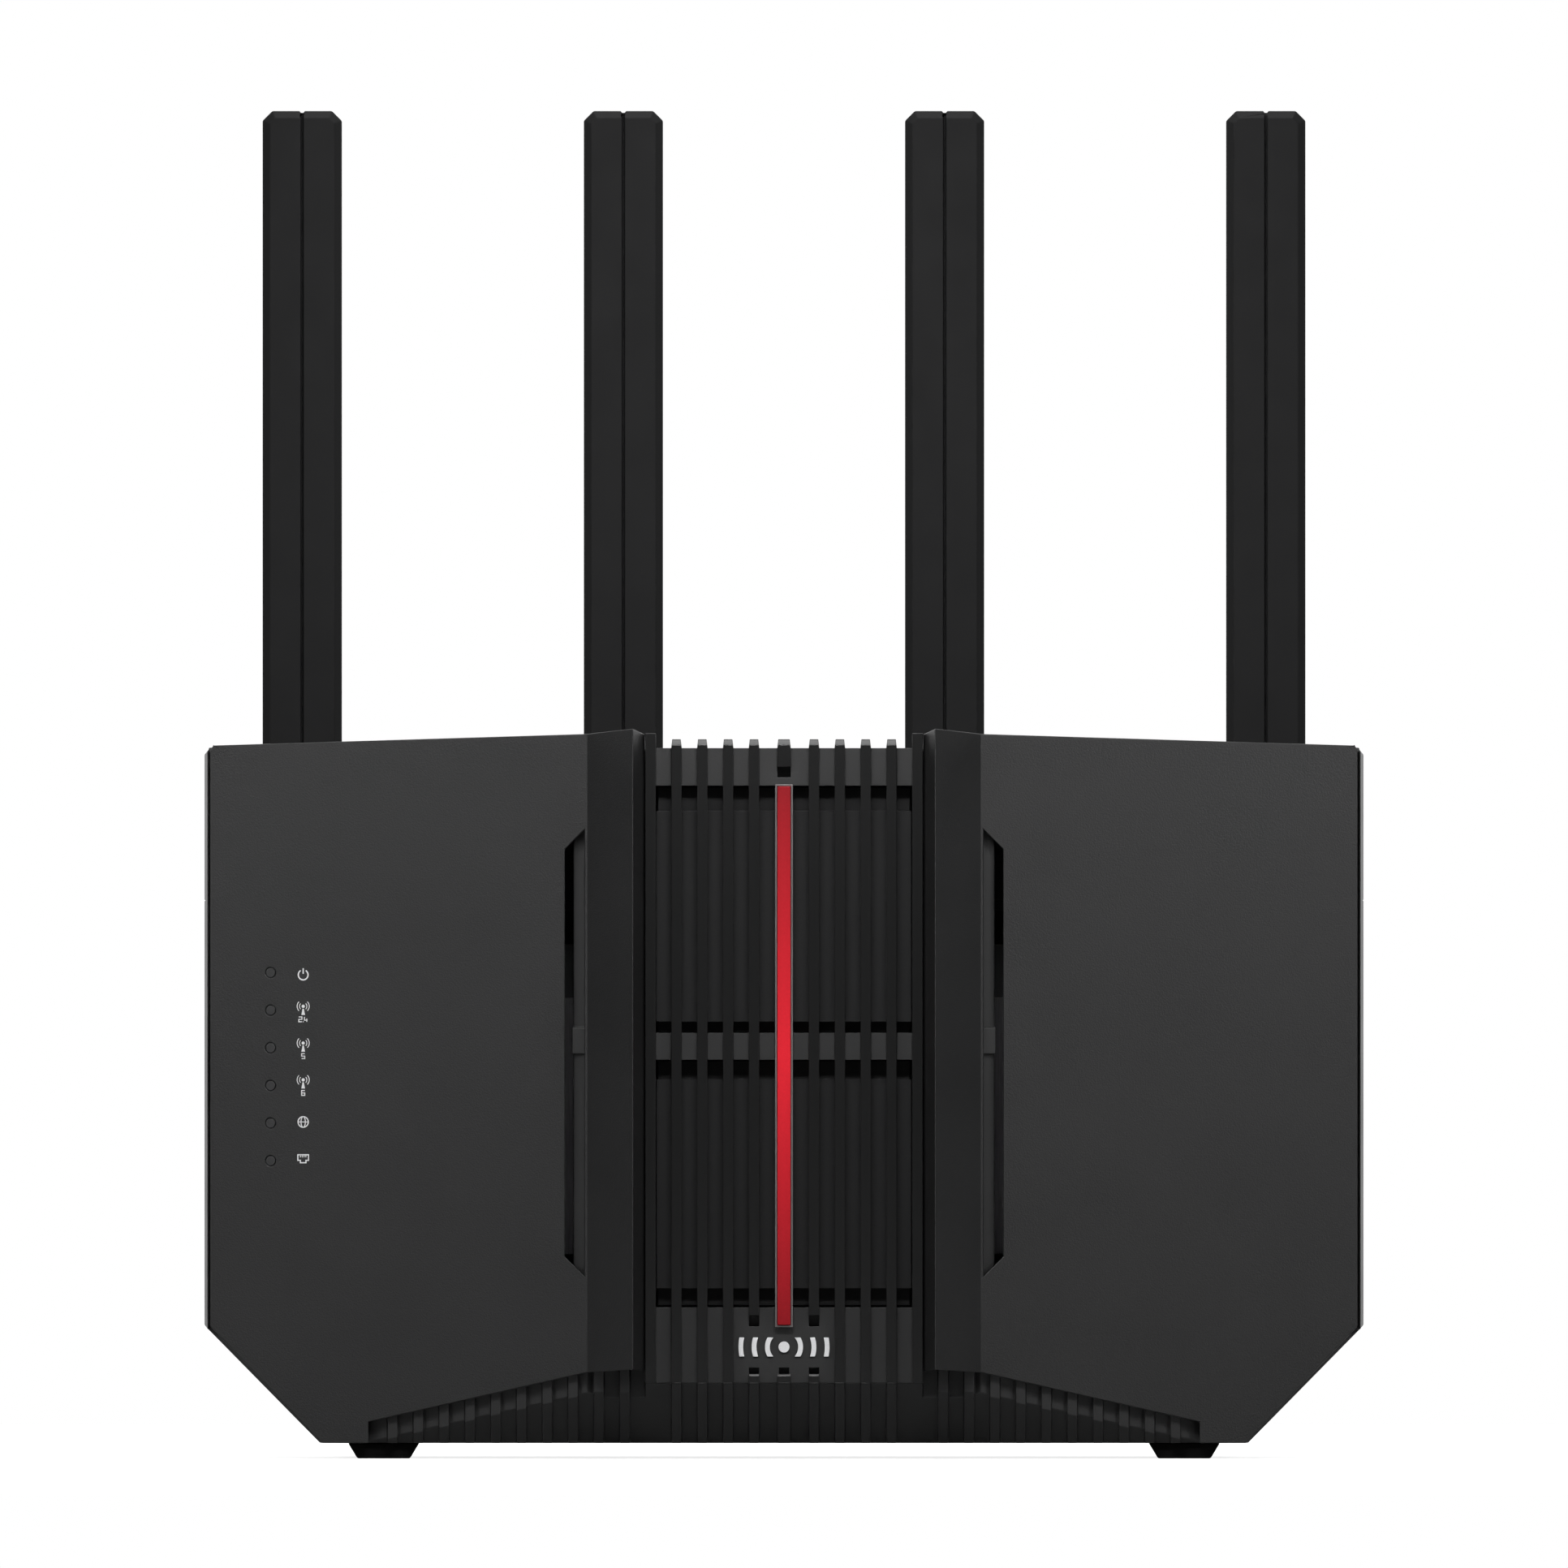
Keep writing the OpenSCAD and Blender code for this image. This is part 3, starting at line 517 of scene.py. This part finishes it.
def add_wing_marks():
    """One sign beside each LED lens on the left wing."""
    lens_low, lens_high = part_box("led_lenses")
    lens_flange = 0.6 * MM
    mark_offset = 6.3 * MM
    radius = (lens_high.x - lens_low.x) / 2 - lens_flange
    x = (lens_low.x + lens_high.x) / 2 + mark_offset

    def band(text):
        def draw(ink):
            mast_icon(ink, 1.2)
            number(ink, text, 0, -1.75, 1.1, 0.21)

        return draw

    icons = [
        ("power_mark", lambda ink: power_icon(ink, 1.14, 0.28)),
        ("band_mark_24", band("2.4")),
        ("band_mark_5", band("5")),
        ("band_mark_6", band("6")),
        ("internet_mark", lambda ink: globe_icon(ink, 1.2, 0.26)),
        ("network_mark", lambda ink: socket_icon(ink, 2.5, 0.26)),
    ]
    pitch = (lens_high.z - lens_low.z - 2 * radius) / (len(icons) - 1)
    for row, (name, draw) in enumerate(icons):
        z = lens_high.z - radius - row * pitch
        place, normal = on_front("left_wing_cover", x, z)
        ink = Print(name, place, (-normal.y, normal.x, 0), normal)
        draw(ink)
        ink.finish(FINISHES["badge"].material, "badge")


def add_port_marks():
    """Plain signs on the port plate, above the ports they belong to."""
    plate_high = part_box("port_plate")[1]
    jack_low, jack_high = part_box("lan_jacks")
    rise = 2.9 * MM
    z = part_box("power_button")[1].z + rise
    jack_width = (jack_high.x - jack_low.x) / LAN_JACKS
    digit_height = 2.2

    def middle(node):
        low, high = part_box(node)
        return (low.x + high.x) / 2

    def wave(ink):
        for r in (0.7, 1.4):
            ink.line(arc(-0.9, 0, r, -50, 50, 10), 0.28)
            ink.line(arc(0.9, 0, r, 130, 230, 10), 0.28)

    def direct_current(ink):
        ink.line([(-1.3, 0.4), (1.3, 0.4)], 0.3)
        for x in (-1.0, 0, 1.0):
            ink.line([(x - 0.3, -0.5), (x + 0.3, -0.5)], 0.3)

    def plug(ink):
        ink.line([(-1.6, 0.8), (1.6, 0.8), (1.6, -0.8), (-1.6, -0.8)], 0.28, closed=True)
        for x in (-0.7, 0.7):
            ink.line([(x, 0.35), (x, -0.35)], 0.4)

    def ring(ink):
        ink.line(arc(0, 0, 0.9, 0, 345, 23), 0.26, closed=True)
        ink.dot(0, 0, 0.35)

    def digit(text):
        return lambda ink: number(ink, text, 0, 0, digit_height, 0.34)

    marks = [
        ("internet_port_mark", middle("wan_jack"), lambda ink: globe_icon(ink, 1.25, 0.26)),
        ("usb_port_mark", middle("usb_shell"), plug),
        ("power_inlet_mark", middle("dc_inlet"), direct_current),
        ("reset_mark", middle("reset_button"), ring),
        ("pairing_mark", middle("wps_button"), wave),
    ]
    for n in range(1, LAN_JACKS + 1):
        marks.append((f"network_port_mark_{n}", jack_high.x - (n - 0.5) * jack_width, digit(str(n))))
    for name, x, draw in marks:
        ink = Print(name, (x, plate_high.y, z), (-1, 0, 0), (0, 1, 0))
        draw(ink)
        ink.finish(FINISHES["badge"].material, "badge")


def add_button_mark():
    """Power sign on the power button, which it moves with."""
    low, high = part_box("power_button")
    middle = ((low.x + high.x) / 2, high.y, (low.z + high.z) / 2)
    ink = Print("power_button_mark", middle, (-1, 0, 0), (0, 1, 0))
    power_icon(ink, 1.7, 0.4)
    ink.finish(FINISHES["badge"].material, "badge", "power_button")


def add_label_rules():
    """Blank rating label: a border, one divider and ruled boxes with nothing written in them."""
    low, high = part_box("rating_label")
    margin = 1.5
    half = (high.x - low.x) / 2 / MM - margin
    rise = (high.z - low.z) / 2 / MM - margin
    ink = Print("label_rules", (0, high.y, (low.z + high.z) / 2), (-1, 0, 0), (0, 1, 0))
    ink.line([(-half, -rise), (-half, rise), (half, rise), (half, -rise)], 0.3, closed=True)
    ink.line([(8, -rise), (8, rise)], 0.3)
    for i in range(5):
        z = rise - (i + 1) * rise / 3
        ink.line([(-half + 3, z), (4 if i % 2 else -6, z)], 0.35)
    side = 5
    for x in (16, 29):
        box = [(x - side, -side), (x - side, side), (x + side, side), (x + side, -side)]
        ink.line(box, 0.35, closed=True)
    ink.finish(label_ink, "label")


# ---- Contacts in the jacks ----


def bar(verts, faces, start, end, width, thickness):
    """Adds a flat bar from start to end, width wide across X."""
    start, end = Vector(start), Vector(end)
    along = (end - start).normalized()
    across = Vector((width / 2, 0, 0))
    up = along.cross(Vector((1, 0, 0))).normalized() * thickness / 2
    first = len(verts)
    for point in (start, end):
        verts += [point - across - up, point + across - up, point + across + up, point - across + up]
    for k in range(4):
        n = (k + 1) % 4
        faces.append((first + k, first + n, first + 4 + n, first + 4 + k))
    faces.append((first, first + 3, first + 2, first + 1))
    faces.append((first + 4, first + 5, first + 6, first + 7))


def add_contacts(name, verts, faces):
    piece = add_piece(name, verts, faces, FINISHES["contact"].material)
    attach(piece, "housing")


def add_jack_contacts(node, name, count):
    """Eight sprung wires under the roof of each network jack's mouth, bent down towards its far end."""
    wires = 8
    pitch = 1.02 * MM
    width = 0.4 * MM
    thickness = 0.22 * MM
    low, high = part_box(node)
    roof = (low.z + high.z) / 2 + 4.3 * MM
    verts, faces = [], []
    for jack in range(count):
        middle = low.x + (jack + 0.5) * (high.x - low.x) / count
        for wire in range(wires):
            x = middle + (wire - (wires - 1) / 2) * pitch
            knee = (x, high.y - 3.2 * MM, roof - 0.3 * MM)
            bar(verts, faces, knee, (x, high.y - 12 * MM, roof - 2.6 * MM), width, thickness)
            bar(verts, faces, (x, high.y - 2.2 * MM, roof - 0.05 * MM), knee, width, thickness)
    add_contacts(name, verts, faces)


def add_usb_contacts():
    """Four flat contacts under the tongue of the USB jack."""
    low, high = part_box("usb_tongue")
    width = 1.2 * MM
    thickness = 0.2 * MM
    verts, faces = [], []
    for offset in (-3.5, -1, 1, 3.5):
        x = (low.x + high.x) / 2 + offset * MM
        bar(verts, faces, (x, low.y + 2 * MM, low.z), (x, high.y - 1.5 * MM, low.z), width, thickness)
    add_contacts("usb_contacts", verts, faces)


# ---- Stage, light and camera ----


def add_stage():
    """Square floor at the height of the table."""
    half = 0.6
    corners = [(-half, -half, 0), (half, -half, 0), (half, half, 0), (-half, half, 0)]
    mesh = bpy.data.meshes.new("floor")
    mesh.from_pydata(corners, [], [(0, 1, 2, 3)])
    floor = bpy.data.objects.new("floor", mesh)
    bpy.context.collection.objects.link(floor)
    floor.data.materials.append(floor_paint())


def floor_paint():
    """Matt pale paint, lifted towards white where it is seen directly."""
    s = Shader("floor_paint", (0.3, 0.3, 0.3), 0.9)
    s.set("Emission Color", (1, 1, 1, 1))
    seen = s.node("ShaderNodeLightPath").outputs["Is Camera Ray"]
    s.link(s.spread(seen, 0, 0.8, 0, 1), s.bsdf.inputs["Emission Strength"])
    return s.material


def add_light(name, place, aim, size, watts):
    """Rectangular area light at a place, turned towards aim."""
    data = bpy.data.lights.new(name, "AREA")
    data.shape = "RECTANGLE"
    data.size, data.size_y = size
    data.energy = watts
    light = bpy.data.objects.new(name, data)
    light.location = place
    light.rotation_euler = (Vector(aim) - Vector(place)).to_track_quat("-Z", "Y").to_euler()
    bpy.context.collection.objects.link(light)


def add_light_pair(name, place, aim, size, watts):
    """Two mirrored lights; place and aim are the right one's, and watts are left and right."""
    for side, word, power in ((-1, "left", watts[0]), (1, "right", watts[1])):
        add_light(f"{name}_{word}", (side * place[0], *place[1:]), (side * aim[0], *aim[1:]), size, power)


def add_lights():
    """Soft lights from the front, a narrow one over the brow, and fill from above, the sides and behind."""
    add_light("front", (0, -1.6, 0.6), (0, 0, 0.12), (0.9, 0.3), 0.2)
    add_light_pair("front", (0.65, -0.95, 0.75), (0.08, 0, 0.1), (0.5, 0.5), (0.9, 1.0))
    add_light_pair("wing", (0.46, -0.36, 0.3), (0.1, 0, 0.12), (0.14, 0.14), (0.9, 1.0))
    add_light("brow", (0, -0.37, 0.36), (0, -0.02, 0.145), (0.24, 0.05), 1.6)
    add_light("top", (0, 0, 0.9), (0, 0, 0.1), (0.7, 0.35), 6)
    add_light_pair("side", (0.9, 0.65, 0.4), (0.1, 0, 0.1), (0.5, 0.5), (2.5, 2.5))
    add_light("back", (0, 0.9, 0.7), (0, 0, 0.1), (1.0, 0.4), 4)


def add_world():
    """White where it is seen directly; as light it is dim, with a bright backdrop behind the object."""
    world = bpy.data.worlds.new("studio")
    world.use_nodes = True
    tree = world.node_tree

    def spread(value, low, high, start=0.0, end=1.0):
        node = tree.nodes.new("ShaderNodeMapRange")
        node.interpolation_type = "SMOOTHSTEP"
        node.inputs["From Min"].default_value = start
        node.inputs["From Max"].default_value = end
        node.inputs["To Max"].default_value = high
        if isinstance(low, float):
            node.inputs["To Min"].default_value = low
        else:
            tree.links.new(low, node.inputs["To Min"])
        tree.links.new(value, node.inputs["Value"])
        return node.outputs["Result"]

    direction = tree.nodes.new("ShaderNodeSeparateXYZ")
    tree.links.new(tree.nodes.new("ShaderNodeTexCoord").outputs["Generated"], direction.inputs["Vector"])
    backdrop = spread(direction.outputs["Y"], 0.06, 1.25, 0.6, 0.95)
    seen = tree.nodes.new("ShaderNodeLightPath").outputs["Is Camera Ray"]
    background = tree.nodes["Background"]
    background.inputs["Color"].default_value = (1, 1, 1, 1)
    tree.links.new(spread(seen, backdrop, 1.0), background.inputs["Strength"])
    bpy.context.scene.world = world


def add_camera():
    """Long lens level with the body's upper part; view_width is what it sees at the ribs."""
    data = bpy.data.cameras.new("camera")
    data.lens = 1200
    data.sensor_width = 36
    camera = bpy.data.objects.new("camera", data)
    bpy.context.collection.objects.link(camera)
    view_width = 0.3535
    view_middle = 0.1523
    distance = view_width * data.lens / data.sensor_width
    camera.location = (0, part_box("centre_grille")[0].y - distance, view_middle)
    camera.rotation_euler = (math.pi / 2, 0, 0)
    bpy.context.scene.camera = camera


finish_cad_nodes()
add_wing_marks()
add_port_marks()
add_button_mark()
add_label_rules()
add_jack_contacts("wan_jack", "internet_jack_contacts", 1)
add_jack_contacts("lan_jacks", "network_jack_contacts", LAN_JACKS)
add_usb_contacts()
add_stage()
add_lights()
add_world()
add_camera()
bpy.context.scene.view_settings.view_transform = "Standard"
